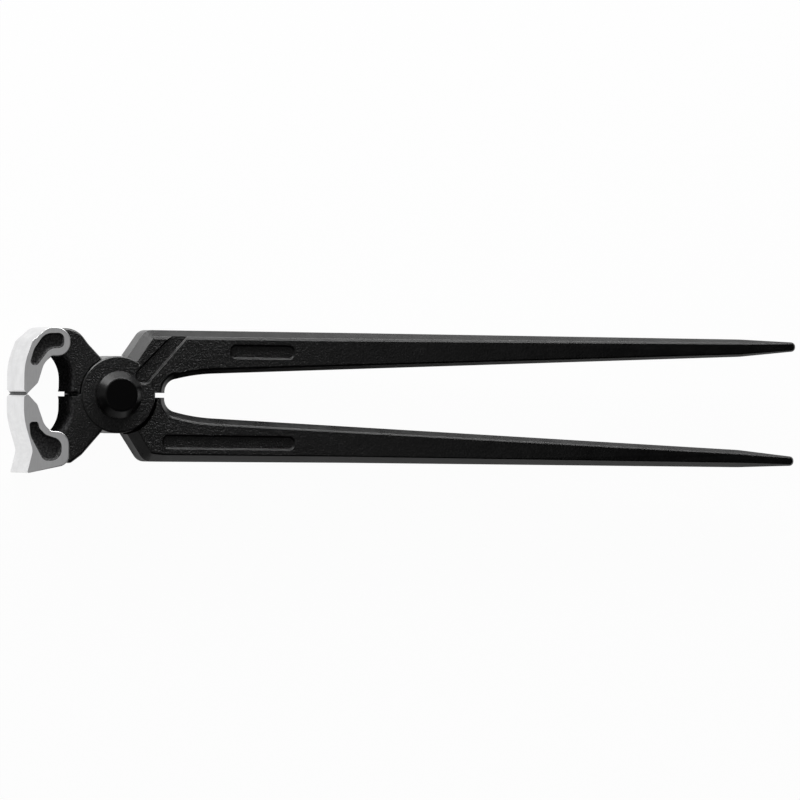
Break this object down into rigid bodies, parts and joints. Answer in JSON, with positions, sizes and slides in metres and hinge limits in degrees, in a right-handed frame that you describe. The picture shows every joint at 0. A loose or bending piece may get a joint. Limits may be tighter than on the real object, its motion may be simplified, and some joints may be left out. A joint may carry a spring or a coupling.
{
  "type": "cutting nippers",
  "caption": "Forged cutting nippers with a lay-on riveted joint, broad end-cutting jaws, a hammer face on one jaw and long tapering handles.",
  "frame": {"origin": "middle of the rivet's flat tail face, on the pivot axis", "axes": "+X along the handles towards their tips, the jaws point to -X; +Z along the pivot towards the rivet's head; +Y on the plain jaw's side"},
  "size_m": [0.3001, 0.0536, 0.0263],
  "materials": {
    "black_forged_steel": "drop-forged, shot-blasted and blackened, with the jaws ground bright",
    "black_rivet_steel": "turned and blackened, satin"
  },
  "bodies": {
    "fixed_arm": {"rear_arm": "black_forged_steel", "rivet": "black_rivet_steel"},
    "swinging_arm": {"front_arm": "black_forged_steel"}
  },
  "joints": [
    {"name": "jaw_pivot", "type": "hinge", "parent": "fixed_arm", "child": "swinging_arm", "pos_m": [0, 0, 0.00975], "axis": [0, 0, 1], "range_deg": [0, 40]}
  ]
}
